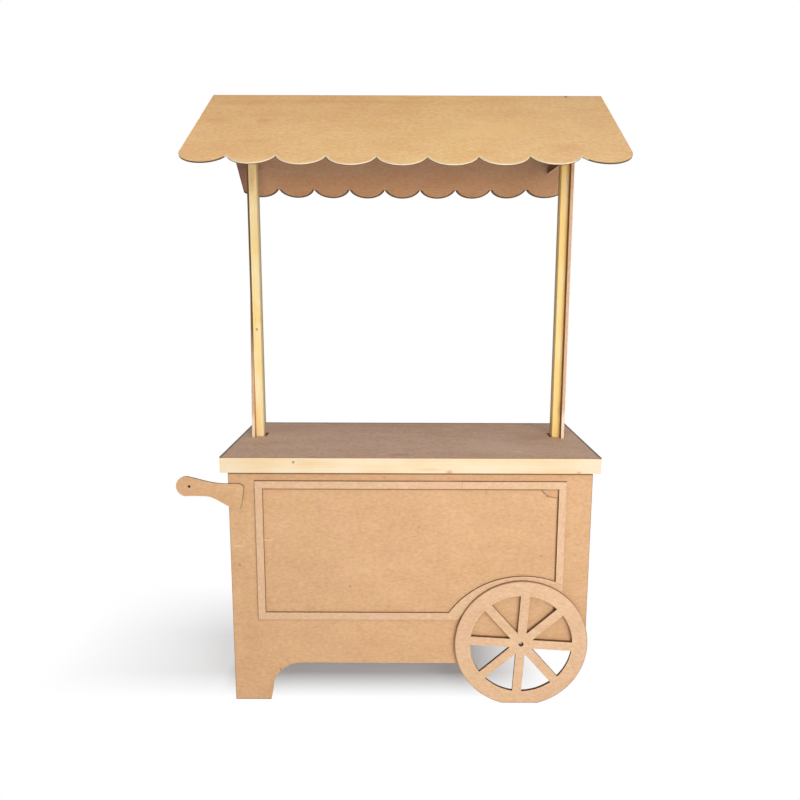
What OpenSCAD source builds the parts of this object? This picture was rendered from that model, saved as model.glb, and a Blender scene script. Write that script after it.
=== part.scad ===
// Knock-down display cart: MDF body on two bracket feet and two fixed spoked wheels, a pine-edged
// counter, two posts that drop through slots in it and a gable roof with scalloped eaves.
// Millimetres, +Z up, +X to the right of someone standing at the front, which faces -Y.

/* [Counter] */
// Length of the counter over its pine edging
counter_length = 1000; // [900:10:1200]
// Depth of the counter over its pine edging
counter_depth = 460; // [420:10:560]
// Height of the counter's top face above the floor
counter_height = 700; // [640:10:800]
// Thickness of the MDF sheet laid on the edging
counter_sheet_t = 3; // [3:1:6]
// How far the counter stands out past the body all round
overhang = 17; // [10:1:30]

/* [Pine batten] */
// Wide face of the batten stock
batten_w = 40; // [34:1:50]
// Narrow face of the batten stock
batten_t = 22; // [16:1:24]

/* [Body] */
// Thickness of the MDF panels
panel_t = 6; // [5:1:9]
// Height of the clear gap under the bottom rail
rail_height = 110; // [80:5:140]
// Width of the bracket foot where it meets the cove
foot_width = 104; // [80:2:130]
// How much wider the foot is at the floor
foot_flare = 6; // [0:1:12]
// Radius of the cove between foot and rail
cove_r = 80; // [30:2:90]
// Width of the applied trim strips
trim_w = 20; // [14:1:30]
// Thickness of the applied trim strips
trim_t = 6; // [3:1:9]

/* [Wheels] */
// Radius of the wheels
wheel_r = 181.5; // [150:0.5:200]
// Distance of the wheel centre to the right of the body's middle
wheel_x = 305; // [250:5:330]
// Height of the rim's centre, less than the radius, so the rim has a flat to stand on
wheel_z = 174.5; // [140:0.5:190]
// How far the hub hole and the crossing of the spokes sit above the rim's centre
hub_rise = 1.5; // [0:0.5:6]
// Thickness of the wheel board
wheel_t = 9; // [6:1:12]
// Width of the rim
rim_w = 42; // [30:1:50]
// Width of a spoke
spoke_w = 25; // [18:1:30]
// Number of spokes
spokes = 8; // [6:1:12]
// How far the spokes are turned from upright, clockwise
spoke_turn = 3.5; // [0:0.5:20]
// Diameter of the pilot hole at the hub
hub_hole = 11; // [6:1:12]

/* [Posts] */
// Distance between the middles of the two battens
post_span = 872; // [800:2:900]
// Shift of the posts to the left of the counter's middle, the play in the slots
post_shift = 6; // [0:1:10]
// Depth from the counter's middle to the front face of the battens
post_y = 23; // [0:1:40]
// Thickness of the MDF strip on the outside of each batten
strip_t = 9; // [6:1:9]
// How far the strip stands out in front of the batten
strip_lead = 20; // [5:1:30]
// How far the left strip's front edge is cut back, higher up
strip_cut = 38; // [0:1:44]
// Height above the counter at which the left strip is cut back in full
strip_cut_z = 420; // [200:10:600]
// How far the posts go down below the counter's top face
post_drop = 260; // [150:10:320]

/* [Roof] */
// Length of the front roof panel along its eave
roof_length = 1080; // [960:4:1200]
// How far the panels' left ends are cut in at the ridge
ridge_in_left = 11; // [0:1:20]
// How far the panels' right ends are cut in at the ridge
ridge_in_right = 3; // [0:1:20]
// Length of the front roof panel from the ridge to its middle scallop's lowest point
roof_slant = 442; // [380:2:500]
// How much shorter the eave's ends are than its middle
eave_bow = 15; // [0:1:20]
// Pitch of the roof in degrees
roof_pitch = 32.2; // [25:0.1:40]
// Height of the ridge above the floor
ridge_height = 1657; // [1500:1:1800]
// Shift of the roof to the left of the counter's middle
roof_shift = 15; // [0:1:20]
// Thickness of the roof panels
roof_t = 4; // [3:1:9]
// Number of scallops along each eave
scallops = 9; // [7:1:11]
// Depth of a scallop below the point where two of them meet
scallop_depth = 45; // [30:1:46]
// Width of the leftmost scallop
scallop_w = 116.5; // [90:0.5:130]
// How much wider each scallop of the front eave is than the one on its left
scallop_growth = 0.85; // [0:0.05:3]
// How far the front eave's end scallops are set in, so that they run into the panel's sides
end_set_in = 2.4; // [0:0.2:2.4]
// How much shorter the back panel is than the front one at its left end
back_short_left = 12; // [0:1:24]
// How much shorter the back panel is than the front one at its right end
back_short_right = 18; // [0:1:24]
// Height of the gable plates' level bottom edge
gable_foot = 1484; // [1440:2:1540]
// Thickness of the gable plates
gable_t = 6; // [5:1:9]
// Play between the left post's strip and the gable plate outside it
gable_gap = 8; // [0:1:9]

/* [Push handle] */
// How far the handle reaches to the left of the body's edge
handle_reach = 137; // [100:1:160]
// Radius of the handle's round end
handle_r = 27; // [20:1:32]
// Height of the round end's centre above the floor
handle_z = 616; // [560:1:630]
// Thickness of the handle board
handle_t = 6; // [5:1:9]
// Diameter of the blind pilot hole in the round end
handle_hole = 6; // [4:1:8]

/* [Hidden] */
body_length = counter_length - 2*overhang + 2;
body_depth = counter_depth - 2*overhang - 2;
body_top = counter_height - counter_sheet_t - batten_w;
yf = -body_depth/2;
ys = yf + panel_t;
xs = body_length/2 - panel_t;
hub_z = wheel_z + hub_rise;
wheel_clear = hub_z - 4;
step_x = wheel_x - wheel_r + 20;
foot_x = -body_length/2 + foot_width;
arch_x = wheel_x + 4;
arch_z = hub_z - 56;
arch_r = wheel_r + 65;
trim_left = -413;
trim_right = 415;
trim_joint = 138.4;
trim_top = 631;
trim_foot = 241;
post_l = -post_shift - post_span/2;
post_r = -post_shift + post_span/2;
post_foot = counter_height - post_drop;
strip_y = post_y - strip_lead;
strip_d = strip_lead + batten_w;
ridge_y = strip_y + strip_d/2;
roof_x = -roof_shift;
drop = roof_t/cos(roof_pitch);
post_top = ridge_height - drop - (strip_d/2)*tan(roof_pitch);
gable_half = (ridge_height - drop - gable_foot)/tan(roof_pitch);
gable_r_x = post_r - batten_t/2 + 9;
gable_l_x = post_l - batten_t/2 - strip_t - gable_gap - gable_t;
handle_x = -body_length/2 - handle_reach + handle_r;
x_min = handle_x - handle_r;
x_max = max(roof_x + roof_length/2, counter_length/2);
// The row's origin is under the middle of the whole cart, so everything moves by this much
shift = [-(x_min + x_max)/2, -ridge_y, 0];
mdf = [0.84, 0.66, 0.47];
cut = [0.90, 0.74, 0.56];
pine = [0.93, 0.80, 0.56];

// A board drawn flat as length against height, stood up with its front face at y
module upright(y, t) translate([0, y + t, 0]) rotate([90, 0, 0]) linear_extrude(t) children();
// A board drawn flat as depth against height, stood up with its left face at x
module across(x, t) translate([x, 0, 0]) rotate([90, 0, 90]) linear_extrude(t) children();
module box(x, y, z) translate([x[0], y[0], z[0]]) cube([x[1] - x[0], y[1] - y[0], z[1] - z[0]]);
module placed() translate(shift) children();

// Counter
module slot_l() {
  box([post_l - batten_t/2 - strip_t - 3, post_l - batten_t/2 + 1], [strip_y - 2, ridge_y + strip_d/2 + 3],
    [counter_height - 20, counter_height + 5]);
  box([post_l - batten_t/2 - 1, post_l + batten_t/2 + 7], [post_y - 2, post_y + batten_w + 12],
    [counter_height - 20, counter_height + 5]);
}
module slot_r() {
  box([post_r + batten_t/2 - 1, post_r + batten_t/2 + strip_t + 3], [strip_y - 2, ridge_y + strip_d/2 + 3],
    [counter_height - 20, counter_height + 5]);
  box([post_r - batten_t/2 - 7, post_r + batten_t/2 + 1], [post_y - 2, post_y + batten_w + 12],
    [counter_height - 20, counter_height + 5]);
}
module counter_sheet() color(mdf) placed() difference() {
  box([-counter_length/2, counter_length/2], [-counter_depth/2, counter_depth/2],
    [counter_height - counter_sheet_t, counter_height]);
  slot_l();
  slot_r();
}
edge_z = [body_top, body_top + batten_w];
module edging_front() color(pine) placed()
  box([-counter_length/2, counter_length/2], [-counter_depth/2, -counter_depth/2 + batten_t], edge_z);
module edging_back() color(pine) placed()
  box([-counter_length/2, counter_length/2], [counter_depth/2 - batten_t, counter_depth/2], edge_z);
module edging_left() color(pine) placed()
  box([-counter_length/2, -counter_length/2 + batten_t],
    [-counter_depth/2 + batten_t, counter_depth/2 - batten_t], edge_z);
module edging_right() color(pine) placed()
  box([counter_length/2 - batten_t, counter_length/2],
    [-counter_depth/2 + batten_t, counter_depth/2 - batten_t], edge_z);

// Body panels
module long_panel() difference() {
  translate([-body_length/2, 0]) square([body_length, body_top]);
  translate([foot_x + cove_r, -1]) square([step_x - foot_x - cove_r + 1, rail_height + 1]);
  translate([foot_x + cove_r, rail_height - cove_r]) circle(cove_r);
  polygon([[foot_x, rail_height - cove_r],
    [foot_x + cove_r + 1, rail_height - cove_r], [foot_x + cove_r + 1, -1], [foot_x - foot_flare, -1]]);
  translate([step_x, -1]) square([body_length, wheel_clear + 1]);
  translate([wheel_x - batten_t/2, wheel_clear - 1]) square([batten_t, 21]);
}
module front_panel() color(mdf) placed() upright(yf, panel_t) long_panel();
module back_panel() color(mdf) placed() upright(-yf - panel_t, panel_t) long_panel();
side_half = body_depth/2 - panel_t;
module side_panel_left() color(mdf) placed() across(-body_length/2, panel_t) difference() {
  translate([-side_half, 0]) square([2*side_half, body_top]);
  hull_y = side_half - 70 - cove_r;
  translate([-hull_y, -1]) square([2*hull_y, rail_height + 1]);
  for (s = [-1, 1]) {
    translate([s*hull_y, rail_height - cove_r]) circle(cove_r);
    translate([s*(hull_y + cove_r/2) - cove_r/2, -1]) square([cove_r, rail_height - cove_r + 1]);
  }
}
module side_panel_right() color(mdf) placed()
  box([xs, xs + panel_t], [-side_half, side_half], [wheel_clear, body_top]);

// Pine framing inside the body
module corner_batten(x, y, z) box([x, x + batten_t], [y, y + batten_t], [z, body_top]);
module corner_batten_front_left() color(pine) placed() corner_batten(-xs, ys, 0);
module corner_batten_back_left() color(pine) placed() corner_batten(-xs, -ys - batten_t, 0);
module corner_batten_front_right() color(pine) placed() corner_batten(xs - batten_t, ys, wheel_clear);
module corner_batten_back_right() color(pine) placed()
  corner_batten(xs - batten_t, -ys - batten_t, wheel_clear);
rail_x = [-xs + batten_t, step_x - 4];
rail_z = [rail_height + 4, rail_height + 4 + batten_w];
module rail_batten_front() color(pine) placed() box(rail_x, [ys, ys + batten_t], rail_z);
module rail_batten_back() color(pine) placed() box(rail_x, [-ys - batten_t, -ys], rail_z);

// Applied trim: a strip frame whose lower right corner turns into an arch over the wheel
module trim_area() intersection() {
  translate([trim_left, trim_foot]) square([trim_right - trim_left, trim_top - trim_foot]);
  children();
}
module arch_disc(r) translate([arch_x, arch_z]) circle(r);
module trim_top_left() color(cut) placed() upright(yf - trim_t, trim_t)
  translate([trim_left, trim_top - trim_w]) square([trim_joint - trim_left, trim_w]);
module trim_top_right() color(cut) placed() upright(yf - trim_t, trim_t)
  translate([trim_joint, trim_top - trim_w]) square([trim_right - trim_joint, trim_w]);
module trim_left() color(cut) placed() upright(yf - trim_t, trim_t)
  translate([trim_left, trim_foot]) square([trim_w, trim_top - trim_foot - trim_w]);
module trim_right() color(cut) placed() upright(yf - trim_t, trim_t) difference() {
  translate([trim_right - trim_w, trim_foot]) square([trim_w, trim_top - trim_foot - trim_w]);
  arch_disc(arch_r);
}
module trim_bottom() color(cut) placed() upright(yf - trim_t, trim_t) difference() {
  translate([trim_left + trim_w, trim_foot]) square([arch_x - trim_left - trim_w, trim_w]);
  arch_disc(arch_r);
}
module trim_arch() color(cut) placed() upright(yf - trim_t, trim_t) trim_area() difference() {
  arch_disc(arch_r);
  arch_disc(arch_r - 32);
}

// Wheels: cut from one board, with a flat on the rim, and held by a batten that runs between them
module wheel_face() difference() {
  intersection() {
    translate([-wheel_r, -wheel_z]) square([2*wheel_r, wheel_z + wheel_r]);
    union() {
      difference() { circle(wheel_r); circle(wheel_r - rim_w); }
      for (i = [0 : spokes/2 - 1]) translate([0, hub_rise]) rotate(i*360/spokes - spoke_turn)
        square([2*wheel_r - rim_w, spoke_w], center = true);
    }
  }
  translate([0, hub_rise]) circle(d = hub_hole);
}
module wheel_front() color(mdf) placed() upright(yf - trim_t - wheel_t, wheel_t)
  translate([wheel_x, wheel_z]) wheel_face();
module wheel_back() color(mdf) placed() upright(-yf + trim_t, wheel_t)
  translate([wheel_x, wheel_z]) wheel_face();
module axle_batten() color(pine) placed()
  box([wheel_x - batten_t/2, wheel_x + batten_t/2], [yf - trim_t, -yf + trim_t],
    [wheel_clear + 20 - batten_w, wheel_clear + 20]);

// Posts: a pine batten with a wider MDF strip on its outer side. The left strip's front edge is
// cut back behind the batten's face, from a full width at the counter
module post_batten(x) box([x - batten_t/2, x + batten_t/2], [post_y, post_y + batten_w],
  [post_foot, post_top]);
module post_batten_left() color(pine) placed() post_batten(post_l);
module post_batten_right() color(pine) placed() difference() {
  post_batten(post_r);
  box([gable_r_x - 0.5, gable_r_x + gable_t + 0.5], [post_y - 1, post_y + batten_w + 1],
    [gable_foot, post_top + 1]);
}
module post_strip(x) box([x, x + strip_t], [strip_y, strip_y + strip_d], [post_foot, post_top]);
module post_strip_left() color(cut) placed() across(post_l - batten_t/2 - strip_t, strip_t)
  polygon([[strip_y, post_foot], [strip_y + strip_d, post_foot], [strip_y + strip_d, post_top],
    [strip_y + strip_cut, post_top], [strip_y + strip_cut, counter_height + strip_cut_z],
    [strip_y, counter_height - 5]]);
module post_strip_right() color(cut) placed() post_strip(post_r + batten_t/2);
// Two upright battens on the side panel keep each post from rocking, and a third stops it
guide_z = [post_foot, body_top - 1];
guide_f = [strip_y - 1 - batten_t, strip_y - 1];
guide_b = [strip_y + strip_d + 1, strip_y + strip_d + 1 + batten_t];
module post_guide_left_front() color(pine) placed() box([-xs, -xs + 50], guide_f, guide_z);
module post_guide_left_back() color(pine) placed() box([-xs, -xs + 50], guide_b, guide_z);
module post_guide_right_front() color(pine) placed() box([xs - 66, xs], guide_f, guide_z);
module post_guide_right_back() color(pine) placed() box([xs - 66, xs], guide_b, guide_z);
rest_y = [strip_y - 1 - batten_t, strip_y + strip_d + 1 + batten_t];
module post_rest_left() color(pine) placed() box([-xs, -xs + 50], rest_y, [post_foot - 20, post_foot]);
module post_rest_right() color(pine) placed() box([xs - 66, xs], rest_y, [post_foot - 20, post_foot]);

// Roof
module gable_plate() difference() {
  polygon([[ridge_y - gable_half, gable_foot], [ridge_y + gable_half, gable_foot],
    [ridge_y, ridge_height - drop]]);
  for (s = [-1, 1]) translate([ridge_y + s*gable_half - 9, gable_foot - 1]) square([18, 30]);
}
module gable_plate_left() color(mdf) placed() across(gable_l_x, gable_t) gable_plate();
module gable_plate_right() color(mdf) placed() across(gable_r_x, gable_t) gable_plate();
// Where scallop i starts, from the panel's left end; the last scallop takes what is left, and the
// back panel's first one starts past the end, so the end cuts it short
function front_cut(i) = i == scallops ? roof_length : i*scallop_w + scallop_growth*i*(i - 1)/2;
function back_cut(i) = i == 0 ? -10 : i == scallops ? back_length : i*(scallop_w - 2.2) + 3;
back_length = roof_length - back_short_left - back_short_right;
// A panel lying flat, ridge along X at y = 0. Each scallop is the low part of a circle, and
// neighbouring circles cross at the points of meet
module roof_sheet(cuts, length, bow, depth, set_in = 0) {
  meet = [for (c = cuts) [c - length/2, depth - roof_slant + bow*pow(2*c/length - 1, 2)]];
  intersection() {
    polygon([[-length/2 + ridge_in_left, 20], [-length/2 + ridge_in_left, 0],
      [-length/2 - ridge_in_left, -2*roof_slant], [length/2 + ridge_in_right, -2*roof_slant],
      [length/2 - ridge_in_right, 0], [length/2 - ridge_in_right, 20]]);
    union() {
      polygon(concat([[length/2 + 19, 25], [-length/2 - 19, 25]],
        [for (i = [0 : scallops]) meet[i] + (i == 0 ? [-9, 14] : i == scallops ? [9, 14] : [0, 2])]));
      for (i = [0 : scallops - 1]) {
        across = meet[i + 1] - meet[i];
        chord = norm(across);
        r = (chord*chord/4 + depth*depth)/(2*depth);
        inward = [i == 0 ? set_in : i == scallops - 1 ? -set_in : 0, 0];
        translate((meet[i] + meet[i + 1])/2 + inward + [-across[1], across[0]]*(r - depth)/chord)
          circle(r);
      }
    }
  }
}
module roof_side() intersection() {
  rotate([roof_pitch, 0, 0]) translate([0, 0, -roof_t]) linear_extrude(roof_t) children();
  translate([-roof_length, -2*roof_slant, -roof_slant]) cube([2*roof_length, 2*roof_slant, 2*roof_slant]);
}
module roof_panel_front() color(mdf) placed() translate([roof_x, ridge_y, ridge_height]) roof_side()
  roof_sheet([for (i = [0 : scallops]) front_cut(i)], roof_length, eave_bow, scallop_depth, end_set_in);
module roof_panel_back() color(mdf) placed()
  translate([roof_x + (back_short_left - back_short_right)/2, ridge_y, ridge_height])
  mirror([0, 1, 0]) roof_side()
  roof_sheet([for (i = [0 : scallops]) back_cut(i)], back_length, 0.4*eave_bow, scallop_depth - 3);

// Push handle: a flat paddle glued to the front panel
function bez(a, b, c, d, n) = [for (i = [0 : n]) let (t = i/n, u = 1 - t)
  u*u*u*a + 3*u*u*t*b + 3*u*t*t*c + t*t*t*d];
module handle_blade() polygon(concat(
  bez((handle_r - 1)*[sin(8), cos(8)], [27, 25], [67, 2], [131, 8], 10),
  bez([131, 8], [141, 8], [153, 5], [152, -3], 4),
  bez([151, -12], [149, -33], [145, -52], [141, -63], 3),
  bez([138, -65], [120, -64], [90, -40], [68, -31], 6),
  bez([65, -29.7], [56, -25.5], [30, -26.5], (handle_r - 1)*[sin(4), -cos(4)], 6),
  [[0, 0]]));
module push_handle() color(mdf) placed() difference() {
  union() {
    upright(yf - handle_t, handle_t) translate([handle_x, handle_z]) circle(handle_r);
    upright(yf - handle_t, handle_t) translate([handle_x, handle_z]) handle_blade();
  }
  translate([handle_x + 8, yf - handle_t - 1, handle_z]) rotate([-90, 0, 0])
    cylinder(d = handle_hole, h = handle_t - 0.5);
}

counter_sheet();
edging_front();
edging_back();
edging_left();
edging_right();
front_panel();
back_panel();
side_panel_left();
side_panel_right();
corner_batten_front_left();
corner_batten_front_right();
corner_batten_back_left();
corner_batten_back_right();
rail_batten_front();
rail_batten_back();
trim_top_left();
trim_top_right();
trim_left();
trim_right();
trim_bottom();
trim_arch();
push_handle();
wheel_front();
wheel_back();
axle_batten();
post_batten_left();
post_batten_right();
post_strip_left();
post_strip_right();
post_guide_left_front();
post_guide_left_back();
post_guide_right_front();
post_guide_right_back();
post_rest_left();
post_rest_right();
gable_plate_left();
gable_plate_right();
roof_panel_front();
roof_panel_back();
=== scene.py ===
import math

import bmesh
import bpy
from mathutils import Matrix, Vector


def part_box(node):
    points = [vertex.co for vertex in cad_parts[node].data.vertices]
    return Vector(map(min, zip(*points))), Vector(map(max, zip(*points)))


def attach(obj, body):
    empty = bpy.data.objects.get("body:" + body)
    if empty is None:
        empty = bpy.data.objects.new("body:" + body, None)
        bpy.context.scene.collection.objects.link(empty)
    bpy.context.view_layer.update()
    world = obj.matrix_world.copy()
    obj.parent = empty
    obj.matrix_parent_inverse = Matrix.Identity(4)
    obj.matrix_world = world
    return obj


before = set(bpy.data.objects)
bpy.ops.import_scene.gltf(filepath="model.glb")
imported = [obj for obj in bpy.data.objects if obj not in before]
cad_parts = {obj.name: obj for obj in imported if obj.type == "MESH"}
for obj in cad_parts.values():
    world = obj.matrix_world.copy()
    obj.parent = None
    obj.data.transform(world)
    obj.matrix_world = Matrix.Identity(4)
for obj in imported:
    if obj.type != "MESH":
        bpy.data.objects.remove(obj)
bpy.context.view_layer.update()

bl_info = {
    "name": "Display cart finishes",
    "version": (1, 0, 0),
    "blender": (4, 5, 0),
    "location": "3D View > Sidebar > Display cart",
    "description": "Gives the knock-down display cart its MDF and pine, its nails and scuffs, "
                   "and a pale stage",
    "category": "Object",
}

X, Y, Z = 0, 1, 2

# Each board's broad axis, the axis its fibre is laid along and a seed for its mottling
SHEETS = {
    "front_panel": (Y, X, 0.0),
    "back_panel": (Y, X, 0.31),
    "side_panel_left": (X, Y, 0.52),
    "side_panel_right": (X, Y, 0.77),
    "push_handle": (Y, X, 0.43),
    "gable_plate_left": (X, Y, 0.13),
    "gable_plate_right": (X, Y, 0.91),
}
STRIPS = {
    "trim_top_left": (Y, X, 0.12),
    "trim_top_right": (Y, X, 0.18),
    "trim_left": (Y, Z, 0.27),
    "trim_right": (Y, Z, 0.36),
    "trim_bottom": (Y, X, 0.58),
    "trim_arch": (Y, X, 0.69),
    "wheel_front": (Y, X, 0.81),
    "wheel_back": (Y, X, 0.94),
}
# Each post strip's seed
POST_STRIPS = {"post_strip_left": 0.22, "post_strip_right": 0.47}
# Each batten's length axis and seed
BATTENS = {
    "edging_front": (X, 0.0),
    "edging_back": (X, 0.4),
    "edging_left": (Y, 0.7),
    "edging_right": (Y, 0.2),
    "rail_batten_front": (X, 0.5),
    "rail_batten_back": (X, 0.9),
    "axle_batten": (Y, 0.6),
    "corner_batten_front_left": (Z, 0.15),
    "corner_batten_front_right": (Z, 0.25),
    "corner_batten_back_left": (Z, 0.35),
    "corner_batten_back_right": (Z, 0.45),
    "post_guide_left_front": (Z, 0.55),
    "post_guide_left_back": (Z, 0.58),
    "post_guide_right_front": (Z, 0.65),
    "post_guide_right_back": (Z, 0.68),
    "post_rest_left": (Y, 0.75),
    "post_rest_right": (Y, 0.85),
}
# Each post's seed and how warm its wood is, 0 to 1
POSTS = {"post_batten_left": (0.33, 0.25), "post_batten_right": (0.84, 0.95)}

# The roof panels' length down the slope, and how each eave is cut into nine scallops: where the first
# one starts, how far the others are moved along, how wide the first is, how much wider each is than the
# one before, the eave's length, the scallops' depth and how far the eave rises at its ends
SLANT = 0.442
SCALLOPS = 9
EAVES = {
    "roof_panel_front": {"first": 0.0, "offset": 0.0, "width": 0.1165, "growth": 0.00085,
                         "length": 1.078, "depth": 0.045, "bow": 0.015},
    "roof_panel_back": {"first": -0.009, "offset": 0.003, "width": 0.1143, "growth": 0.0,
                        "length": 1.050, "depth": 0.042, "bow": 0.006},
}

# Each lamp's place, the point it faces, its diameter, watts and colour
LAMPS = {
    "key": ((1.1, -3.4, 1.15), (0.0, 0.0, 0.85), 2.2, 73, (1.0, 0.99, 0.97)),
    "fill": ((-1.3, -3.5, 1.1), (0.0, 0.0, 0.9), 2.0, 9, (0.98, 0.99, 1.0)),
    "top": ((0.6, -2.6, 3.6), (0.0, 0.0, 0.8), 2.4, 28, (1.0, 1.0, 1.0)),
}

# The sky and the floor: its shadow's tone, a glow that lifts the shadow, and half the floor's side
WHITE = (1.0, 1.0, 1.0)
SKY = (0.97, 0.985, 1.0)
SKY_STRENGTH = 0.25
FLOOR_GREY = (0.84, 0.85, 0.87)
FLOOR_LIFT = 0.14
FLOOR_HALF = 9.0

# The camera stands before the cart's front and looks a little down
CAMERA_PLACE = (0.0341, -2.1415, 1.1702)
CAMERA_TILT = math.radians(90 - 9.608)
CAMERA_ROLL = 0.0031
CAMERA_SHIFT = -0.00666
SENSOR_WIDTH = 36.0


def linear(red, green, blue):
    """An sRGB colour, 0 to 255, as the linear values a shader wants."""
    def one(channel):
        channel /= 255
        return channel / 12.92 if channel <= 0.04045 else ((channel + 0.055) / 1.055) ** 2.4
    return tuple(one(channel) for channel in (red, green, blue))


def toned(colour, red, green, blue):
    """A colour with each channel multiplied, kept below white."""
    return tuple(min(1.0, channel * factor) for channel, factor in zip(colour, (red, green, blue)))


# Colours of the small marks
PENCIL = linear(134, 88, 52)
SCUFF = linear(240, 204, 164)
CHALK = linear(236, 226, 214)
# A paler patch at the foot of each post strip
PALE_FOOT = linear(255, 238, 208)
# Glue seams darkened into painted shadows beside the trims and along the foot
GLUE_AND_SHADE = linear(132, 84, 44)
# Painted shade in the groove between a post's strip and its batten, a lighter and a darker one
GROOVE_SHADE_PALE = linear(190, 134, 60)
GROOVE_SHADE_DARK = linear(116, 66, 8)
# Painted shade standing in for a hole
HOLE_SHADE = linear(44, 28, 18)
# Painted shade round the wheel's hub hole
HUB_SHADE = linear(52, 32, 16)
SOOT = linear(56, 34, 18)
SCORCH = linear(70, 48, 26)
# Painted shade on the upper part of the left post strip
UPPER_SHADE = linear(96, 60, 14)
# Painted shade on the far part of a post's sides
SIDE_SHADE = linear(132, 106, 58)
KNOT = linear(206, 152, 88)
RESIN_HIGH = linear(226, 168, 104)
RESIN_LOW = linear(216, 160, 92)

# How nearly a face has to point along a way to count as facing it, and as turned towards it
FACING = 0.7
TURNED = 0.3


# ---- shader maths -----------------------------------------------------------------------------

class Wire:
    """An output socket that can be added, multiplied and compared like a number."""

    def __init__(self, tree, socket):
        self.tree, self.socket = tree, socket

    def _maths(self, operation, *values, clamp=False):
        settings = {"operation": operation, "use_clamp": clamp}
        return self.tree.add("ShaderNodeMath", settings, dict(enumerate(values)))

    def __add__(self, other):
        return self._maths("ADD", self, other)

    def __sub__(self, other):
        return self._maths("SUBTRACT", self, other)

    def __rsub__(self, other):
        return self._maths("SUBTRACT", other, self)

    def __mul__(self, other):
        return self._maths("MULTIPLY", self, other)

    def __truediv__(self, other):
        return self._maths("DIVIDE", self, other)

    def __rtruediv__(self, other):
        return self._maths("DIVIDE", other, self)

    def __pow__(self, other):
        return self._maths("POWER", self, other)

    def __rpow__(self, other):
        return self._maths("POWER", other, self)

    def __abs__(self):
        return self._maths("ABSOLUTE", self)

    def __gt__(self, other):
        return self._maths("GREATER_THAN", self, other)

    def __lt__(self, other):
        return self._maths("LESS_THAN", self, other)

    __radd__, __rmul__ = __add__, __mul__

    def clamped(self):
        return self._maths("ADD", self, 0.0, clamp=True)

    def least(self, other):
        return self._maths("MINIMUM", self, other)

    def part(self, axis):
        return self.tree.add("ShaderNodeSeparateXYZ", values={0: self}, output=axis)


class Tree:
    """A node tree that ends in one kind of output node. A single method adds any node."""

    def __init__(self, tree, end):
        self.nodes, self.links = tree.nodes, tree.links
        self.nodes.clear()
        self.end = end

    def add(self, kind, settings=None, values=None, output=0):
        """Adds a node with its settings and its sockets' values or links, and gives one of its outputs."""
        node = self.nodes.new(kind)
        for name, value in (settings or {}).items():
            setattr(node, name, value)
        for name, value in (values or {}).items():
            socket = node.inputs[name]
            if isinstance(value, Wire):
                self.links.new(value.socket, socket)
            elif isinstance(value, (tuple, list)) and len(value) == 3 and socket.type == "RGBA":
                socket.default_value = (*value, 1)
            else:
                socket.default_value = value
        return None if output is None else Wire(self, node.outputs[output])

    def vector(self, operation, *values):
        output = 1 if operation in ("LENGTH", "DOT_PRODUCT") else 0
        return self.add("ShaderNodeVectorMath", {"operation": operation}, dict(enumerate(values)), output)

    def blend(self, amount, first, second, mode="MIX"):
        return self.add("ShaderNodeMix", {"data_type": "RGBA", "blend_type": mode},
                        {0: amount, 6: first, 7: second}, output=2)

    def noise(self, place, scale, detail=2.0, rough=0.5):
        """Noise centred on zero, mostly within 0.25 of it."""
        values = {"Vector": place, "Scale": scale, "Detail": detail, "Roughness": rough}
        return self.add("ShaderNodeTexNoise", values=values) - 0.5

    def here(self):
        """The point being shaded, in metres in the cart's own frame."""
        return self.add("ShaderNodeTexCoord", output="Object")

    def normal(self):
        return self.add("ShaderNodeNewGeometry", output="Normal")

    def facing(self, out):
        """1 where the surface faces along a direction, or straight against it, else 0."""
        return abs(self.vector("DOT_PRODUCT", self.normal(), out)) > FACING

    def seen(self):
        """1 for what is seen directly, in gloss or through glass, else 0."""
        rays = 0.0
        for kind in ("Is Camera Ray", "Is Glossy Ray", "Is Transmission Ray"):
            rays = rays + self.add("ShaderNodeLightPath", output=kind)
        return rays.clamped()

    def show(self, shader):
        self.add(self.end, values={"Surface": shader}, output=None)


class Finish(Tree):
    """One material's node tree."""

    def __init__(self, name):
        self.material = bpy.data.materials.new(name)
        self.material.use_nodes = True
        super().__init__(self.material.node_tree, "ShaderNodeOutputMaterial")

    def marked(self, tone, here, marks):
        """A colour with the marks laid over it in turn."""
        for mark in marks:
            amount, colour, mode = mark(self, here)
            tone = self.blend(amount, tone, colour, mode)
        return tone

    def finish(self, colour, roughness, height=None, depth=0.0001):
        values = {"Base Color": colour, "Roughness": roughness}
        if height is not None:
            bump = {"Height": height, "Distance": depth, "Strength": 1.0}
            values["Normal"] = self.add("ShaderNodeBump", values=bump)
        self.show(self.add("ShaderNodeBsdfPrincipled", values=values))
        return self.material


# ---- marks: each gives how much of its colour lies at a point ----------------------------------

def line(gap, width):
    """1 up to half a width away from a line, fading to 0 at one and a half widths."""
    return (1.5 - gap / width).clamped()


def blot(centre, radii, colour, strength, grain=0.0, soft=1.0):
    """A soft spot of three radii, broken up by grain."""
    def mark(tree, here):
        away = tree.vector("LENGTH", tree.vector("DIVIDE", tree.vector("SUBTRACT", here, centre), radii))
        if grain:
            away = away + tree.noise(here, 0.6 / min(radii), 3.0, 0.6) * grain
        return ((1.0 - away) / soft).clamped() * strength, colour, "MIX"
    return mark


def stroke(first, last, width, colour, strength, wander=0.0):
    """A fine line between two points."""
    def mark(tree, here):
        run = Vector(last) - Vector(first)
        away = tree.vector("SUBTRACT", here, first)
        if wander:
            shake = tree.noise(here, 60.0, 2.0) * wander
            shift = tree.add("ShaderNodeCombineXYZ", values={X: shake, Y: shake, Z: shake})
            away = tree.vector("ADD", away, shift)
        along = tree.vector("DOT_PRODUCT", away, tuple(run / run.length_squared)).clamped()
        nearest = tree.add("ShaderNodeVectorMath", {"operation": "SCALE"}, {0: tuple(run), "Scale": along})
        gap = tree.vector("LENGTH", tree.vector("SUBTRACT", away, nearest))
        return line(gap, width) * strength, colour, "MIX"
    return mark


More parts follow.
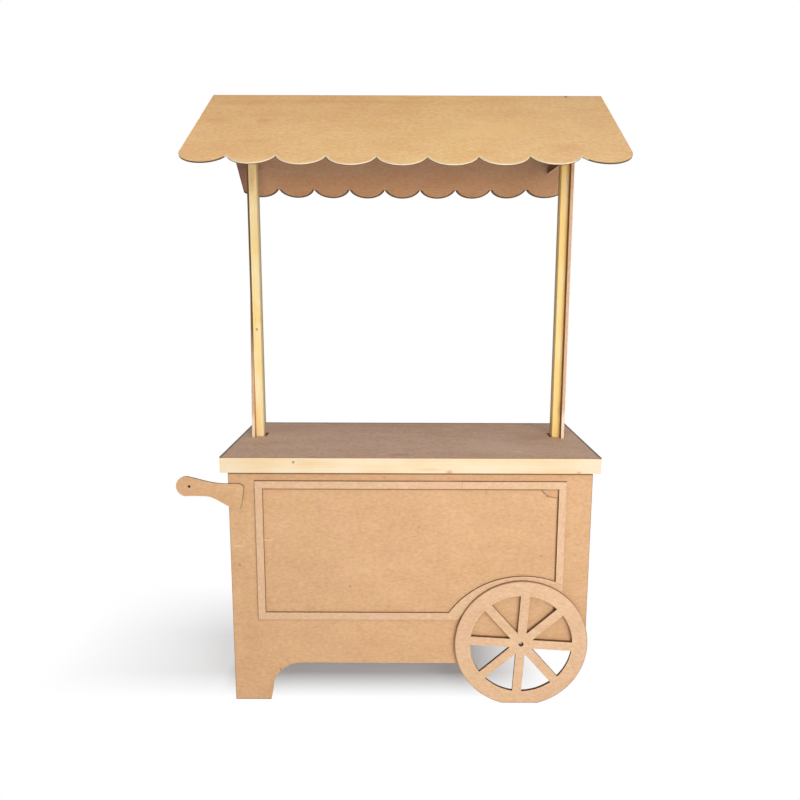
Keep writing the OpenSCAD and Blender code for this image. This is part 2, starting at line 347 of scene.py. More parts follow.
def ring(centre, radius, width, colour, strength):
    """A fine line round a circle that faces the front, the same through the board's thickness."""
    def mark(tree, here):
        across_board = tree.vector("MULTIPLY", tree.vector("SUBTRACT", here, centre), (1.0, 0.0, 1.0))
        gap = abs(tree.vector("LENGTH", across_board) - radius)
        return line(gap, width) * strength, colour, "MIX"
    return mark


def edge_shade(node, axis, sides, width, colour, strength):
    """A darker line along a board's low side, 0, its high side, 1, or both: painted shade along its arris."""
    def mark(tree, here):
        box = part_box(node)
        nearest = None
        for side in sides:
            gap = abs(here.part(axis) - box[side][axis])
            nearest = gap if nearest is None else nearest.least(gap)
        return line(nearest, width) * strength, colour, "MIX"
    return mark


def groove_shade(x, colour, reach=0.0006, strength=0.92):
    """Painted shade on the side where a post's strip meets its batten, in the groove between them."""
    def mark(tree, here):
        return (abs(here.part(X) - x) < reach) * strength, colour, "MIX"
    return mark


def grade(axis, start, full, tint, where=None, strength=1.0, mode="MULTIPLY"):
    """A tint that comes in evenly along an axis, everywhere or only where a mask says."""
    def mark(tree, here):
        amount = ((here.part(axis) - start) / (full - start)).clamped() * strength
        return amount if where is None else amount * where(tree), tint, mode
    return mark


def scallop_line(panel, picked, roof, width, colour, strength, where):
    """A line along the lower edge of an eave's scallops, of which a slice picks the ones that have it."""
    def mark(tree, here):
        along = here.part(X)
        down = abs(here.part(Y)) * math.cos(roof.slope) + (roof.top - here.part(Z)) * math.sin(roof.slope)
        nearest = None
        for middle, centre, radius, half in scallop_circles(panel)[picked]:
            aside, below = abs(along - middle), down - centre
            away = (aside * aside + below * below) ** 0.5
            # Beside its scallop, above its centre or past its edge, a circle counts as a metre away
            elsewhere = (aside > away * (half / radius)) + (below < 0.0) + (away > radius + 0.001)
            gap = radius - away + elsewhere
            nearest = gap if nearest is None else nearest.least(gap)
        return (3.0 - nearest * (2.0 / width)).clamped() * where(tree) * strength, colour, "MIX"
    return mark


def scorch(roof, skin, reach, strength):
    """Soot on the front panel's cut edges below a pale skin, and all over them at its two end scallops."""
    def mark(tree, here):
        low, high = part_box("roof_panel_front")
        deep = (roof.top - abs(here.part(Y)) * math.tan(roof.slope) - here.part(Z)) * math.cos(roof.slope)
        ends = abs(here.part(X) - (low.x + high.x) / 2) > (high.x - low.x) / 2 - reach
        return (1.0 - roof.flat(tree)) * ((deep > skin) + ends).clamped() * strength, SOOT, "MIX"
    return mark


def underside(tree):
    """1 on what faces down, else 0."""
    return tree.normal().part(Z) < -TURNED


def inner_side(tree):
    """1 on what faces left, else 0."""
    return tree.normal().part(X) < -TURNED


def either_side(tree):
    """1 on what faces left or right, else 0."""
    return tree.facing((1.0, 0.0, 0.0))


def front_or_back(tree):
    """1 on what faces the front or the back, else 0."""
    return tree.facing((0.0, 1.0, 0.0))


# ---- finishes ---------------------------------------------------------------------------------

def stretched(axis, amount):
    """Factors that draw a pattern out along one axis."""
    return tuple(amount if each == axis else 1.0 for each in (X, Y, Z))


def direction(axis):
    """The way that one axis points."""
    return tuple(1.0 if each == axis else 0.0 for each in (X, Y, Z))


def mdf(name, face, edge, out, laid, seed, marks=(), mottle=1.0):
    """Raw MDF: cloudy felted fibre in the face, a denser tone on the sawn edge."""
    tree = Finish(name)
    here = tree.here()
    # The seed takes each board to its own part of the pattern
    place = tree.vector("ADD", here, (seed * 7.3, seed * 3.1, seed * 5.7))
    drawn = tree.vector("MULTIPLY", place, stretched(laid, 0.55))
    cloud = tree.noise(place, 5.0, 2.0, 0.5)
    patch = tree.noise(drawn, 17.0, 4.0, 0.6)
    fibre = tree.noise(drawn, 150.0, 3.0, 0.65)
    fine = tree.noise(place, 380.0, 2.0, 0.6)
    rosy = tree.noise(tree.vector("ADD", place, (3.0, 1.0, 2.0)), 12.0, 3.0, 0.6)
    level = (cloud * 0.5 + patch * 1.1 + fibre * 2.0 + fine * 1.2) * mottle + 0.5
    tone = tree.blend(level.clamped(), toned(face, 0.90, 0.86, 0.80), toned(face, 1.10, 1.14, 1.20))
    tint = tree.blend((rosy * 2.6 + 0.5).clamped(), (0.99, 1.0, 0.94), (1.0, 0.975, 1.0))
    tone = tree.blend(1.0, tone, tint, "MULTIPLY")
    fleck = ((tree.noise(drawn, 230.0, 1.0) - 0.16) * 9.0).clamped()
    tone = tree.blend(fleck * 0.30, tone, toned(face, 0.62, 0.48, 0.36))
    cut = tree.blend((fibre * 2.5 + 0.5).clamped(), toned(edge, 0.84, 0.84, 0.84), toned(edge, 1.1, 1.1, 1.1))
    tone = tree.marked(tree.blend(tree.facing(out), cut, tone), here, marks)
    return tree.finish(tone, 0.68 + patch * 0.15, fibre * 0.5 + fine * 0.5, 0.00015)


def pine(name, pale, warm, axis, seed, marks=(), warmth=0.38, rings=0.22):
    """Planed pine: warm streaks and faint late-wood lines that run with the batten."""
    tree = Finish(name)
    here = tree.here()
    place = tree.vector("ADD", here, (seed * 9.1, seed * 4.3, seed * 6.7))
    drawn = tree.vector("MULTIPLY", place, stretched(axis, 0.05))
    streak = tree.noise(drawn, 60.0, 3.0, 0.55)
    patch = tree.noise(place, 9.0, 2.0, 0.5)
    fibre = tree.noise(tree.vector("MULTIPLY", place, stretched(axis, 0.02)), 700.0, 2.0, 0.6)
    first, second = (each for each in (X, Y, Z) if each != axis)
    ring_depth = place.part(first) * 0.8 + place.part(second) * 0.6 + tree.noise(drawn, 20.0, 2.0) * 0.02
    late_wood = tree.add("ShaderNodeMath", {"operation": "SINE"}, {0: ring_depth * 1150.0}) * 0.5 + 0.5
    tone = tree.blend((streak * (1.4 + rings * 5.5) + patch * 2.0 + warmth).clamped(), pale, warm)
    tone = tree.blend((late_wood ** 3.0) * rings, tone, toned(warm, 0.90, 0.80, 0.66))
    tone = tree.blend(1.0, tone, 1.0 + fibre * 0.22 + streak * 0.12, "MULTIPLY")
    tone = tree.marked(tone, here, marks)
    return tree.finish(tone, 0.55 + fibre * 0.2, fibre * 0.6 - late_wood * 0.2, 0.00012)


def nail_steel():
    """Dull rusted steel."""
    tree = Finish("steel_nail")
    rust = tree.noise(tree.here(), 900.0, 2.0, 0.6) + 0.5
    return tree.finish(tree.blend(rust, linear(38, 26, 16), linear(70, 46, 26)), 0.55 + rust * 0.2)


def take_arris(obj, width):
    """Joins the split corners of a CAD mesh and takes a hair off each arris."""
    weld = obj.modifiers.new("joined corners", "WELD")
    weld.merge_threshold = 0.00001
    arris = obj.modifiers.new("arris", "BEVEL")
    arris.width, arris.segments, arris.limit_method = width, 2, "ANGLE"
    arris.angle_limit = math.radians(40)
    arris.use_clamp_overlap = True


def dress(node, material, arris):
    """Gives a CAD node its finish through its object's own slots."""
    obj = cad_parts[node]
    for slot in obj.material_slots:
        slot.link = "OBJECT"
        slot.material = material
    take_arris(obj, arris)


# ---- sizes and colours a user would change ----------------------------------------------------

class CartColours(bpy.types.PropertyGroup):
    sheet: bpy.props.FloatVectorProperty(
        name="MDF sheet", description="Face of the body panels and handle", subtype="COLOR",
        default=linear(215, 170, 126), min=0, max=1)
    # Lighter than the body sheet though it is the same MDF: painted light that makes up for the lamps
    # lighting the roof less
    roof: bpy.props.FloatVectorProperty(
        name="Roof sheet", description="Face of the roof panels", subtype="COLOR",
        default=linear(254, 202, 140), min=0, max=1)
    counter: bpy.props.FloatVectorProperty(
        name="Counter sheet", description="Face of the counter", subtype="COLOR",
        default=linear(221, 187, 162), min=0, max=1)
    strip: bpy.props.FloatVectorProperty(
        name="MDF strip", description="Face of the trim, wheels and post strips", subtype="COLOR",
        default=linear(222, 183, 146), min=0, max=1)
    sawn: bpy.props.FloatVectorProperty(
        name="Scorched edge", description="Cut edges of the wheels, trim and panels", subtype="COLOR",
        default=linear(104, 66, 38), min=0, max=1)
    eave: bpy.props.FloatVectorProperty(
        name="Eave edge", description="Cut edges of the scallops", subtype="COLOR",
        default=linear(250, 222, 180), min=0, max=1)
    edging: bpy.props.FloatVectorProperty(
        name="Edging pine", description="Pale pine of the counter edging", subtype="COLOR",
        default=linear(242, 222, 188), min=0, max=1)
    edging_warm: bpy.props.FloatVectorProperty(
        name="Edging streaks", description="Warm streaks in the edging pine", subtype="COLOR",
        default=linear(237, 203, 152), min=0, max=1)
    # Whiter than the pine's own colour: painted light that makes up for the eave's shade on the posts
    post: bpy.props.FloatVectorProperty(
        name="Post pine", description="Yellower pine of the posts", subtype="COLOR",
        default=linear(255, 243, 197), min=0, max=1)
    post_warm: bpy.props.FloatVectorProperty(
        name="Post streaks", description="Warm streaks in the post pine", subtype="COLOR",
        default=linear(255, 217, 132), min=0, max=1)


class CartSizes(bpy.types.PropertyGroup):
    board_arris: bpy.props.FloatProperty(
        name="Board arris", description="How much is taken off each board's edges", subtype="DISTANCE",
        unit="LENGTH", default=0.0004, min=0.0, max=0.001)
    counter_arris: bpy.props.FloatProperty(
        name="Counter arris", description="How much is taken off the thin counter sheet's edges",
        subtype="DISTANCE", unit="LENGTH", default=0.0002, min=0.0, max=0.001)
    batten_arris: bpy.props.FloatProperty(
        name="Batten arris", description="How much is taken off each batten's edges", subtype="DISTANCE",
        unit="LENGTH", default=0.0008, min=0.0, max=0.003)
    nail: bpy.props.FloatProperty(
        name="Nail head", description="Radius of the nail heads in the pine", subtype="DISTANCE",
        unit="LENGTH", default=0.0031, min=0.001, max=0.006)
    lens: bpy.props.FloatProperty(
        name="Lens", description="Focal length of the stage camera", subtype="DISTANCE_CAMERA",
        unit="CAMERA", default=33.23, min=20.0, max=120.0)


# ---- body sheets ------------------------------------------------------------------------------

def panel_marks(face):
    """Glue lines with painted shadow beside and below the trims, painted shadow below the edging and along
    the foot, painted shade along the side edges, and pencil, scuffs and specks on the front of the body.
    """
    low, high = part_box("front_panel")
    left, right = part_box("trim_left"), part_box("trim_right")
    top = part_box("trim_top_left")[1].z

    def at(x, z):
        return (x, low.y, z)

    # Heights of the painted shadow below the edging, the glue and painted shadow below the top trim, the pale
    # lip of the bottom rail and the painted shadow along the foot's lower edge, and that foot's width
    under_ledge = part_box("edging_front")[0].z - 0.0060
    under_trim = left[1].z - 0.0024
    lip = 0.0955
    sole = 0.0008
    foot = 0.104
    # Glue lines darkened into painted shadows beside and below the trims: each line's ends, half its width
    # and how strong it is
    seams = (
        (at(right[0].x, left[0].z), at(right[0].x, right[1].z), 0.0036, 0.9),
        (at(left[0].x, left[0].z), at(left[0].x, top), 0.0022, 0.7),
        (at(left[1].x, left[0].z), at(left[1].x, left[1].z), 0.0012, 0.5),
        (at(left[0].x, top), at(right[1].x, top), 0.0016, 0.6),
        (at(left[1].x, under_trim), at(right[0].x, under_trim), 0.0020, 0.75),
    )
    marks = [stroke(first, last, width, GLUE_AND_SHADE, strength) for first, last, width, strength in seams]
    marks += [
        # A painted shadow below the edging, a painted shadow along the foot's lower edge, the pale lip and
        # painted shade along the panel's sides
        stroke(at(low.x, under_ledge), at(high.x, under_ledge), 0.0024, toned(face, 0.30, 0.22, 0.16), 0.9),
        stroke(at(low.x, sole), at(low.x + foot, sole), 0.0014, GLUE_AND_SHADE, 0.9),
        stroke(at(low.x + 0.20, lip), at(0.28, lip), 0.0030, SCUFF, 0.8, 0.002),
        edge_shade("front_panel", X, (0, 1), 0.0016, toned(face, 0.45, 0.42, 0.40), 0.8),
    ]
    # The pencil arc in the top right corner, its smudged end and the reddened sheet round it
    arc = ((0.3965, 0.6086), (0.4038, 0.6001), (0.4139, 0.5916), (0.4239, 0.5880), (0.4368, 0.5855))
    marks += [stroke(at(*first), at(*last), 0.0016, PENCIL, 0.75) for first, last in zip(arc, arc[1:])]
    marks += [
        blot(at(0.4145, 0.5900), (0.007, 0.01, 0.005), PENCIL, 0.7, 0.8),
        blot(at(0.428, 0.602), (0.026, 0.01, 0.016), toned(face, 0.94, 0.84, 0.80), 0.6, 1.0, 0.5),
    ]
    # Two level scratches beside the trim: from, to, height, strength
    scratches = ((-0.4263, -0.4060, 0.4490, 0.8), (-0.3454, -0.3238, 0.4651, 0.6))
    marks += [stroke(at(first, z), at(last, z), 0.0013, SCUFF, strength)
              for first, last, z, strength in scratches]
    # Specks: place, half width, strength
    specks = ((-0.4125, 0.3939, 0.004, 0.8), (-0.1150, 0.3337, 0.004, 0.7), (0.0719, 0.5030, 0.005, 0.5),
              (0.4023, 0.4222, 0.004, 0.6), (-0.3090, 0.0911, 0.005, 0.8))
    marks += [blot(at(x, z), (half, 0.01, 0.004), PENCIL, strength) for x, z, half, strength in specks]
    marks.append(blot(at(-0.300, 0.600), (0.040, 0.01, 0.014), toned(face, 0.96, 0.86, 0.80), 0.5, 1.2))
    return marks


class CART_OT_sheets(bpy.types.Operator):
    """Give the body panels, handle and gable plates their raw MDF"""
    bl_idname = "cart.sheets"
    bl_label = "Body sheets"

    def execute(self, context):
        colours, sizes = context.scene.cart_colours, context.scene.cart_sizes
        face, sawn = tuple(colours.sheet), tuple(colours.sawn)
        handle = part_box("push_handle")[0]
        hole = (handle.x + 0.035, handle.y + 0.003, 0.616)
        marks = {
            "front_panel": panel_marks(face),
            # A painted dark spot stands for the shade in the handle's hole
            "push_handle": [blot(hole, (0.005, 0.01, 0.005), HOLE_SHADE, 1.0, 0.0, 0.4)],
            # Painted shade darkens the inner face of the right gable plate
            "gable_plate_right": [grade(Z, 1.0, 1.1, (0.25, 0.15, 0.15), inner_side)],
        }
        for node, (broad, laid, seed) in SHEETS.items():
            # The gable plates' edges are pale, a painted highlight along their lower edge; the other sheets'
            # edges are scorched
            edge = toned(face, 1.2, 1.2, 1.2) if "gable" in node else sawn
            material = mdf("mdf_" + node, face, edge, direction(broad), laid, seed, marks.get(node, ()))
            dress(node, material, sizes.board_arris)
        return {"FINISHED"}


# ---- counter ----------------------------------------------------------------------------------

class CART_OT_counter(bpy.types.Operator):
    """Give the counter its greyer sheet, its stains and its scuff, with painted shade along its edges and
    towards its back and a painted sheen at its front right
    """
    bl_idname = "cart.counter"
    bl_label = "Counter sheet"

    def execute(self, context):
        colours, sizes = context.scene.cart_colours, context.scene.cart_sizes
        face = tuple(colours.counter)
        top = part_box("counter_sheet")[1].z
        marks = [
            # Painted shade along the left, right and back edges, and darker towards the back under the roof
            edge_shade("counter_sheet", X, (0, 1), 0.0058, toned(face, 0.16, 0.15, 0.15), 1.0),
            edge_shade("counter_sheet", Y, (1,), 0.0120, toned(face, 0.22, 0.20, 0.20), 0.85),
            grade(Y, -0.05, 0.19, (0.96, 0.88, 0.82)),
        ]
        # Stains, and last a lighter patch at the front right that is a painted sheen: middle, radii, tint of
        # the sheet, strength, grain
        stains = (
            (0.420, -0.010, 0.100, 0.090, (0.78, 0.68, 0.60), 0.9, 0.9),
            (-0.330, 0.100, 0.120, 0.100, (0.86, 0.76, 0.70), 0.8, 0.9),
            (0.021, -0.235, 0.045, 0.020, (0.70, 0.64, 0.60), 0.8, 1.0),
            (0.300, -0.160, 0.200, 0.070, (1.15, 1.16, 1.18), 0.8, 0.8),
        )
        marks += [blot((x, y, top), (wide, deep, 0.02), toned(face, *tint), strength, grain)
                  for x, y, wide, deep, tint, strength, grain in stains]
        marks.append(blot((0.338, -0.195, top), (0.026, 0.006, 0.02), CHALK, 1.0, 2.2, 0.7))
        material = mdf("mdf_counter", face, toned(face, 0.50, 0.38, 0.30), direction(Z), X, 0.17, marks, 2.6)
        dress("counter_sheet", material, sizes.counter_arris)
        return {"FINISHED"}


# ---- trim, wheels and post strips -------------------------------------------------------------

def trim_marks(face, dark):
    """The joint and the patch in the top trim, and the wheel's outline, painted shade round its hub hole and
    a painted contact shadow along its flat.
    """
    low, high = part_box("trim_top_right")
    patch = low.x + 0.0795
    pink, grey = toned(face, 1.02, 0.97, 0.94), toned(face, 0.6, 0.5, 0.45)
    rosy = blot((low.x - 0.05, low.y, high.z - 0.01), (0.05, 0.02, 0.03), pink, 0.7)
    joint = stroke((low.x, low.y, low.z), (low.x, low.y, high.z), 0.0006, dark, 0.8)
    patch_end = stroke((patch, low.y, low.z), (patch, low.y, high.z), 0.0008, grey, 0.25)
    low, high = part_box("wheel_front")
    radius = (high.x - low.x) / 2
    hub = ((low.x + high.x) / 2, low.y, high.z - radius)
    # A painted contact shadow along the wheel's flat bottom
    flat = [(hub[X] + side * 0.05, low.y, 0.0006) for side in (-1, 1)]
    return {
        "trim_top_left": [rosy, joint],
        "trim_top_right": [patch_end],
        "wheel_front": [ring(hub, radius - 0.0006, 0.0013, dark, 0.7),
                        ring(hub, 0.0052, 0.0017, HUB_SHADE, 0.95),
                        stroke(*flat, 0.0016, dark, 0.9)],
    }


def post_strip_marks(node):
    """Painted shade on the side that meets the batten, a paler foot and, on the left, painted shade higher
    up.
    """
    low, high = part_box(node)
    foot = blot(((low.x + high.x) / 2, low.y, 0.735), (0.02, 0.012, 0.055), PALE_FOOT, 0.8, 0.0, 0.5)
    if node == "post_strip_left":
        # Painted shade: the left strip's front edge darkens higher up
        upper_shade = grade(Z, 0.86, 1.02, UPPER_SHADE, front_or_back, 0.85, "MIX")
        return [foot, upper_shade, groove_shade(high.x, GROOVE_SHADE_PALE)]
    return [foot, groove_shade(low.x, GROOVE_SHADE_DARK)]


class CART_OT_strips(bpy.types.Operator):
    """Give the trim, wheels and post strips their lighter MDF"""
    bl_idname = "cart.strips"
    bl_label = "Trim, wheels and post strips"

    def execute(self, context):
        colours, sizes = context.scene.cart_colours, context.scene.cart_sizes
        face, sawn = tuple(colours.strip), tuple(colours.sawn)
        marks = trim_marks(face, toned(face, 0.5, 0.42, 0.36))
        for node, (broad, laid, seed) in STRIPS.items():
            material = mdf("mdf_" + node, face, sawn, direction(broad), laid, seed, marks.get(node, ()))
            dress(node, material, sizes.board_arris)
        edge = toned(face, 1.0, 0.97, 0.93)
        for node, seed in POST_STRIPS.items():
            material = mdf("mdf_" + node, face, edge, direction(X), Z, seed, post_strip_marks(node))
            dress(node, material, sizes.board_arris)
        return {"FINISHED"}


# ---- roof -------------------------------------------------------------------------------------

class Roof:
    """The roof's pitch and ridge, taken from its front panel."""

    def __init__(self):
        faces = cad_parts["roof_panel_front"].data.polygons
        self.slope = math.acos(max(faces, key=lambda face: face.area).normal.z)
        self.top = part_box("roof_panel_front")[1].z

    def out(self, side):
        """The way that a panel's face points: side is -1 for the front one and 1 for the back one."""
        return (0.0, side * math.sin(self.slope), math.cos(self.slope))

    def flat(self, tree):
        """1 on the faces of the front panel, 0 on its cut edges."""
        return tree.facing(self.out(-1))


def scallop_circles(panel):
    """Each scallop's middle along the eave, its centre down the slope, its radius and half its width."""
    cut = EAVES[panel]
    low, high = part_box(panel)
    length = high.x - low.x
    starts = [cut["first"]]
    starts += [cut["offset"] + cut["width"] * i + cut["growth"] * i * (i - 1) / 2 for i in range(1, SCALLOPS)]
    starts.append(cut["length"])
    circles = []
    for first, last in zip(starts, starts[1:]):
        half, middle = (last - first) / 2, (first + last) / 2
        radius = (half * half + cut["depth"] ** 2) / (2 * cut["depth"])
        lowest = SLANT - cut["bow"] * (2 * middle / length - 1) ** 2
        circles.append((low.x + middle, lowest - radius, radius, half))
    return circles


def front_roof_marks(roof, face, eave):
    """Smudges and scratches on the front slope, its chipped ridge and the lines along its eave, with painted
    shade along its sides, at its ridge and towards it, and painted light across it.
    """
    brown, dark = toned(face, 0.80, 0.68, 0.58), toned(face, 0.42, 0.36, 0.32)
    panel = "roof_panel_front"
    low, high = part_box(panel)
    # Painted shade along the slope's sides and its ridge
    marks = [edge_shade(panel, X, (0, 1), 0.0014, dark, 0.7), edge_shade(panel, Y, (1,), 0.0022, dark, 0.8)]
    # Smudges on the slope: middle, radii, colour, strength, grain
    smudges = (
        ((-0.381, -0.048, 1.6268), (0.090, 0.030, 0.030), brown, 0.55, 1.0),
        ((-0.328, -0.152, 1.5613), (0.030, 0.024, 0.018), brown, 0.8, 1.2),
        ((-0.460, -0.153, 1.5607), (0.060, 0.030, 0.020), brown, 0.5, 1.2),
        ((-0.339, -0.263, 1.4914), (0.060, 0.024, 0.016), brown, 0.6, 1.2),
        ((-0.130, -0.040, 1.6300), (0.260, 0.018, 0.014), brown, 0.5, 1.2),
        ((0.270, -0.200, 1.5286), (0.130, 0.080, 0.060), toned(face, 1.04, 1.04, 0.98), 0.7, 0.5),
        ((0.420, -0.290, 1.4713), (0.045, 0.030, 0.025), brown, 0.55, 1.2),
    )
    marks += [blot(*smudge) for smudge in smudges]
    # The crack below the ridge, from left to right
    crack = ((0.0253, -0.0142, 1.6481), (0.0525, -0.0196, 1.6447), (0.0881, -0.0125, 1.6491))
    marks += [
        stroke(crack[0], crack[1], 0.0012, dark, 0.8, 0.004),
        stroke(crack[1], crack[2], 0.0012, dark, 0.6, 0.004),
        blot((0.4710, -0.0066, 1.6528), (0.0065, 0.005, 0.004), toned(face, 0.2, 0.16, 0.14), 1.0, 0.8, 0.4),
        # Painted shade darkens the slope towards the ridge; painted light makes it lighter towards its left
        # end and darker and cooler towards its right
        grade(Z, low.z + 0.09, high.z, (0.94, 0.89, 0.84)),
        grade(X, 0.0, -0.5, (1.06, 1.04, 1.06)),
        grade(X, 0.2, 0.5, (0.96, 0.97, 1.02)),
        scallop_line(panel, slice(1, -1), roof, 0.0034, eave, 1.0, roof.flat),
        scorch(roof, 0.0024, 0.112, 0.95),
    ]
    return marks


def back_roof_marks(roof, face):
    """Painted shade on the underside of the back slope, darker and redder all over and darker towards its
    ridge and left end, painted shade along its sides, and the scorched lines along its scallops.
    """
    panel = "roof_panel_back"
    return [
        edge_shade(panel, X, (0, 1), 0.0040, toned(face, 0.42, 0.36, 0.32), 0.7),
        # Painted shade: the underside darker and redder, then darker and cooler towards the ridge, and darker
        # towards the left end
        grade(Z, 1.0, 1.1, (0.78, 0.66, 0.73), underside),
        grade(Z, 1.44, 1.50, (0.70, 0.74, 0.86), underside),
        grade(X, -0.41, -0.47, (0.62, 0.56, 0.60), underside),
        scallop_line(panel, slice(None), roof, 0.0055, SCORCH, 0.9, underside),
    ]


class CART_OT_roof(bpy.types.Operator):
    """Give the two roof panels their sheet, brightened as painted light, with pale scalloped edges, smudges,
    a chipped ridge and painted shade
    """
    bl_idname = "cart.roof"
    bl_label = "Roof panels"

    def execute(self, context):
        colours, sizes = context.scene.cart_colours, context.scene.cart_sizes
        face, eave, sawn = tuple(colours.roof), tuple(colours.eave), tuple(colours.sawn)
        roof = Roof()
        panels = (
            ("roof_panel_front", -1, eave, 0.05, front_roof_marks(roof, face, eave)),
            ("roof_panel_back", 1, sawn, 0.62, back_roof_marks(roof, face)),
        )
        for node, side, edge, seed, marks in panels:
            material = mdf("mdf_" + node, face, edge, roof.out(side), X, seed, marks, 1.4)
            dress(node, material, sizes.board_arris)
        return {"FINISHED"}


# ---- pine -------------------------------------------------------------------------------------

def edging_marks(warm):
    """Warm patches and two knots in the front edging."""
    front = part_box("edging_front")[0].y
    return [
        blot((-0.215, front, 0.6830), (0.060, 0.02, 0.010), warm, 0.9, 0.6),
        blot((0.095, front, 0.6680), (0.050, 0.02, 0.007), toned(warm, 0.97, 0.92, 0.82), 0.8, 0.6),
        blot((0.150, front, 0.6600), (0.013, 0.02, 0.008), KNOT, 0.9, 0.3),
        blot((0.4902, front, 0.6590), (0.010, 0.02, 0.006), KNOT, 0.8, 0.3),
        grade(X, 0.15, 0.50, (0.97, 0.95, 0.97)),
    ]


def post_marks(node):
    """Painted shade on the far part of a post's sides, and one reddish patch on its front."""
    low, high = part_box(node)
    deep = high.y - low.y
    side_shade = grade(Y, low.y + deep * 0.35, low.y + deep * 0.65, SIDE_SHADE, either_side, 0.6, "MIX")
    if node == "post_batten_left":
        patch = blot((low.x + 0.008, low.y, 1.43), (0.012, 0.02, 0.045), RESIN_HIGH, 0.7, 0.8)
    else:
        patch = blot((high.x, low.y, 0.785), (0.012, 0.02, 0.030), RESIN_LOW, 0.8, 0.4)
    return [side_shade, patch]


class CART_OT_battens(bpy.types.Operator):
    """Give every pine batten its grain, run along its length"""
    bl_idname = "cart.battens"
    bl_label = "Pine battens"

    def execute(self, context):
        colours, sizes = context.scene.cart_colours, context.scene.cart_sizes
        pale, warm = tuple(colours.edging), tuple(colours.edging_warm)
        for node, (axis, seed) in BATTENS.items():
            marks = edging_marks(warm) if node == "edging_front" else ()
            material = pine("pine_" + node, pale, warm, axis, seed, marks, rings=0.10)
            dress(node, material, sizes.batten_arris)
        pale, warm = tuple(colours.post), tuple(colours.post_warm)
        for node, (seed, warmth) in POSTS.items():
            material = pine("pine_" + node, pale, warm, Z, seed, post_marks(node), warmth)
            dress(node, material, sizes.batten_arris)
        return {"FINISHED"}


# ---- nails ------------------------------------------------------------------------------------

def nail_head(name, centre, out, radius):
    """A small round head, dished at the middle, lying just proud of the wood."""
    turn = Vector(out).to_track_quat("Z", "Y").to_matrix().to_4x4()
    sides = 16
    # Rings from the middle outwards: radius as a share of the head's, and height above the wood
    profile = ((0.45, -0.0001), (0.85, 0.0003), (1.0, 0.0001), (1.05, -0.0006))
    mesh = bmesh.new()
    hub = mesh.verts.new((0, 0, -0.0002))
    angles = [i * math.tau / sides for i in range(sides)]
    rings = [[mesh.verts.new((radius * share * math.cos(a), radius * share * math.sin(a), height))
              for a in angles] for share, height in profile]
    for i in range(sides):
        j = (i + 1) % sides
        mesh.faces.new((hub, rings[0][i], rings[0][j]))
        for inner, outer in zip(rings, rings[1:]):
            mesh.faces.new((inner[i], outer[i], outer[j], inner[j]))
    mesh.faces.new(list(reversed(rings[-1])))
    mesh.transform(Matrix.Translation(centre) @ turn)
    data = bpy.data.meshes.new(name)
    mesh.to_mesh(data)
    mesh.free()
    data.shade_smooth()
    obj = bpy.data.objects.new(name, data)
    bpy.context.scene.collection.objects.link(obj)
    return obj


class CART_OT_nails(bpy.types.Operator):
    """Set the nail heads that show in the edging and the post"""
    bl_idname = "cart.nails"
    bl_label = "Nail heads"

    def execute(self, context):
        steel = nail_steel()
        edging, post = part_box("edging_front")[0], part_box("post_batten_left")[0]
        places = {
            "nail_edging_front": (-0.2588, edging.y, 0.6861),
            "nail_post_left": (post.x + 0.0105, post.y, 1.0146),
        }
        for name, centre in places.items():
            nail = nail_head(name, centre, (0, -1, 0), context.scene.cart_sizes.nail)
            nail.data.materials.append(steel)
            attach(nail, "root")
        return {"FINISHED"}


# ---- stage ------------------------------------------------------------------------------------

def stage_white():
    """A pale floor that keeps the shadow under and behind the cart and is plain white around it."""
    tree = Finish("floor_white")
    here = tree.here()
    low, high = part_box("front_panel")[0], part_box("back_panel")[1]
    # Along an axis: where the white starts, where it is full, and what share of the shade it takes off
    ramps = (
        (Y, low.y + 0.145, low.y + 0.01, 1.0),
        (Y, high.y - 0.05, high.y + 0.34, 1.0),
        (X, low.x + 0.03, low.x - 0.06, 0.5),
        (X, low.x - 0.10, low.x - 0.60, 1.0),
        (X, high.x - 0.33, high.x - 0.07, 1.0),
    )
    shade = 1.0
    for axis, start, full, share in ramps:
        shade = shade * (1.0 - ((here.part(axis) - start) / (full - start)).clamped() * share)
    matt = tree.add("ShaderNodeBsdfDiffuse", values={"Color": FLOOR_GREY})
    glow = tree.add("ShaderNodeEmission", values={"Color": WHITE, "Strength": FLOOR_LIFT})
    lifted = tree.add("ShaderNodeAddShader", values={0: matt, 1: glow})
    white = tree.add("ShaderNodeEmission", values={"Color": WHITE, "Strength": 1.0})
    shown = tree.add("ShaderNodeMixShader", values={0: shade, 1: white, 2: lifted})
    tree.show(tree.add("ShaderNodeMixShader", values={0: tree.seen(), 1: matt, 2: shown}))
    return tree.material


def studio_world():
    """An even pale sky that lights softly and is plain white to the camera and in gloss."""
    world = bpy.data.worlds.new("studio")
    world.use_nodes = True
    tree = Tree(world.node_tree, "ShaderNodeOutputWorld")
    fill = tree.add("ShaderNodeBackground", values={"Color": SKY, "Strength": SKY_STRENGTH})
    white = tree.add("ShaderNodeBackground", values={"Color": WHITE, "Strength": 1.0})
    tree.show(tree.add("ShaderNodeMixShader", values={0: tree.seen(), 1: fill, 2: white}))
    return world


def soft_lamp(name, place, target, diameter, watts, colour):
    """A round soft lamp that faces a point."""
    data = bpy.data.lights.new(name, "AREA")
    data.shape, data.size, data.energy, data.color = "DISK", diameter, watts, colour
    lamp = bpy.data.objects.new(name, data)
    bpy.context.scene.collection.objects.link(lamp)
    lamp.location = place
    lamp.rotation_euler = (Vector(target) - Vector(place)).to_track_quat("-Z", "Y").to_euler()


def lay_floor():
    """A wide floor at the height of the cart's feet, kept out of the part itself."""
    ground = bmesh.new()
    bmesh.ops.create_grid(ground, x_segments=4, y_segments=4, size=FLOOR_HALF)
    data = bpy.data.meshes.new("floor")
    ground.to_mesh(data)
    ground.free()
    floor = bpy.data.objects.new("floor", data)
    floor.data.materials.append(stage_white())
    bpy.context.scene.collection.objects.link(floor)


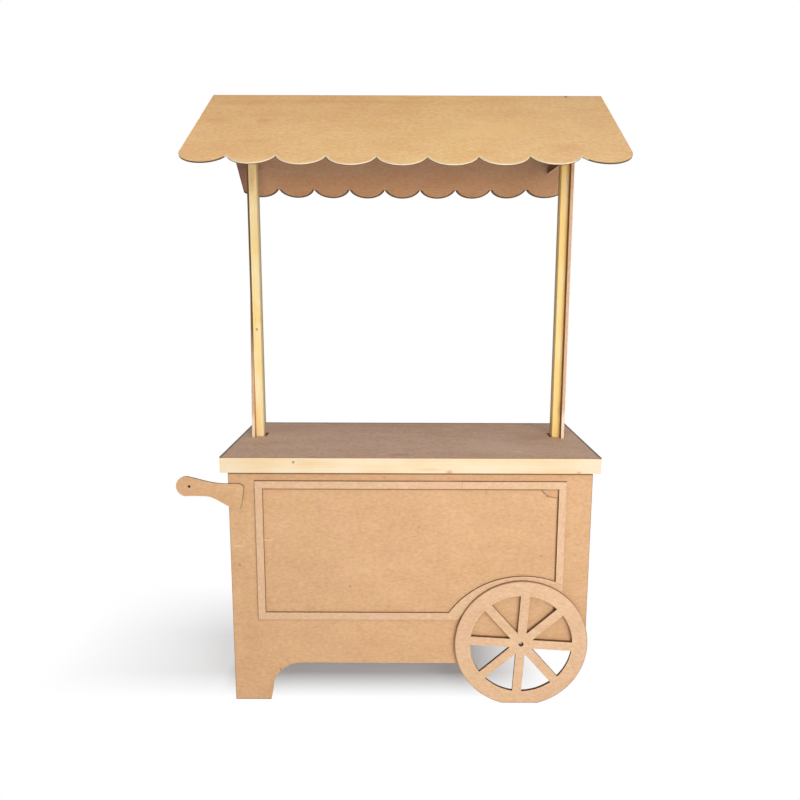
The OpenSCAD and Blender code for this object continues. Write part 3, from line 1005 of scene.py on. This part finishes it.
def set_camera(lens):
    """The stage's camera, with its lens in millimetres."""
    data = bpy.data.cameras.new("camera")
    data.lens, data.sensor_width = lens, SENSOR_WIDTH
    data.shift_x = CAMERA_SHIFT
    camera = bpy.data.objects.new("camera", data)
    bpy.context.scene.collection.objects.link(camera)
    camera.matrix_world = (Matrix.Translation(CAMERA_PLACE) @ Matrix.Rotation(CAMERA_TILT, 4, "X")
                           @ Matrix.Rotation(CAMERA_ROLL, 4, "Z"))
    bpy.context.scene.camera = camera


class CART_OT_stage(bpy.types.Operator):
    """Lay the pale floor, hang the soft lamps and set the camera"""
    bl_idname = "cart.stage"
    bl_label = "Stage"

    def execute(self, context):
        context.scene.view_settings.view_transform = "Standard"
        context.scene.world = studio_world()
        lay_floor()
        for name, lamp in LAMPS.items():
            soft_lamp(name, *lamp)
        set_camera(context.scene.cart_sizes.lens)
        return {"FINISHED"}


class CART_PT_panel(bpy.types.Panel):
    """Lists the cart's finishes and the stage"""
    bl_idname = "CART_PT_panel"
    bl_label = "Display cart"
    bl_space_type = "VIEW_3D"
    bl_region_type = "UI"
    bl_category = "Display cart"

    def draw(self, context):
        for group in (context.scene.cart_colours, context.scene.cart_sizes):
            for name in group.__annotations__:
                self.layout.prop(group, name)
        for step in STEPS:
            self.layout.operator(step.bl_idname)


STEPS = (CART_OT_stage, CART_OT_sheets, CART_OT_counter, CART_OT_strips, CART_OT_roof, CART_OT_battens,
         CART_OT_nails)
CLASSES = (CartColours, CartSizes) + STEPS + (CART_PT_panel,)


def register():
    for each in CLASSES:
        bpy.utils.register_class(each)
    bpy.types.Scene.cart_colours = bpy.props.PointerProperty(type=CartColours)
    bpy.types.Scene.cart_sizes = bpy.props.PointerProperty(type=CartSizes)


def unregister():
    del bpy.types.Scene.cart_sizes
    del bpy.types.Scene.cart_colours
    for each in reversed(CLASSES):
        bpy.utils.unregister_class(each)


def main():
    register()
    bpy.ops.cart.stage()
    bpy.ops.cart.sheets()
    bpy.ops.cart.counter()
    bpy.ops.cart.strips()
    bpy.ops.cart.roof()
    bpy.ops.cart.battens()
    bpy.ops.cart.nails()


if __name__ == "__main__":
    main()
